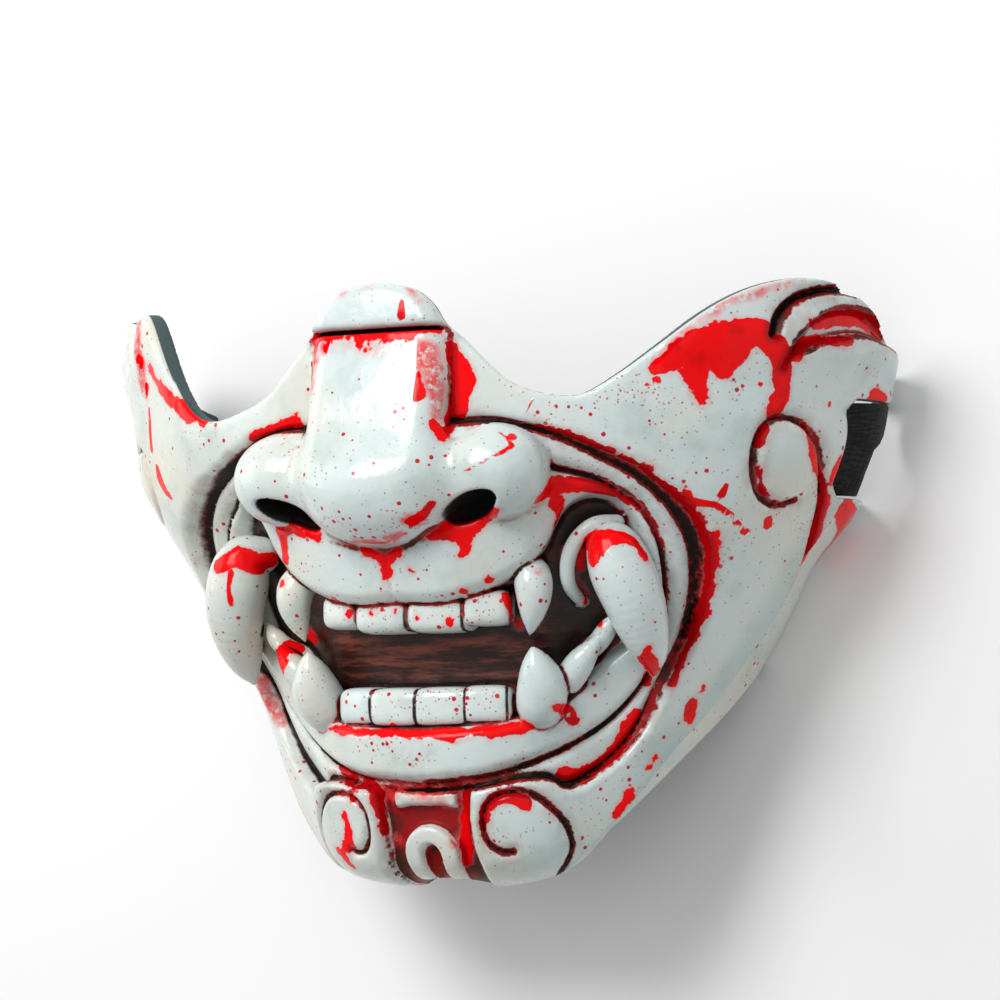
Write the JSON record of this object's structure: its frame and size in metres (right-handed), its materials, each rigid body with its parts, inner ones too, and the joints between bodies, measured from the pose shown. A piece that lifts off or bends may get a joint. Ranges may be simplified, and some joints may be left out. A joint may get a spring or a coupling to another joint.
{
  "type": "demon half mask",
  "caption": "Cast resin demon half mask for the lower face, with a broad nose, bared teeth, curved tusks and strap ends at the sides.",
  "frame": {"origin": "centre of the bounding box in X and Y, on the plane that the mask lies on", "axes": "+X across the face towards the wearer's left, +Y from the chin up to the brow, +Z out of the face through the nose"},
  "size_m": [0.1972, 0.1374, 0.0942],
  "materials": {
    "resin": "glossy cool off-white with red stains and dark wash in the grooves",
    "webbing": "black woven strap",
    "steel": "bright rivet head"
  },
  "bodies": {
    "root": {"mask_shell": "resin", "strap_tab_left": "webbing", "strap_tab_right": "webbing", "rivet_left": "steel", "rivet_right": "steel"}
  },
  "joints": []
}
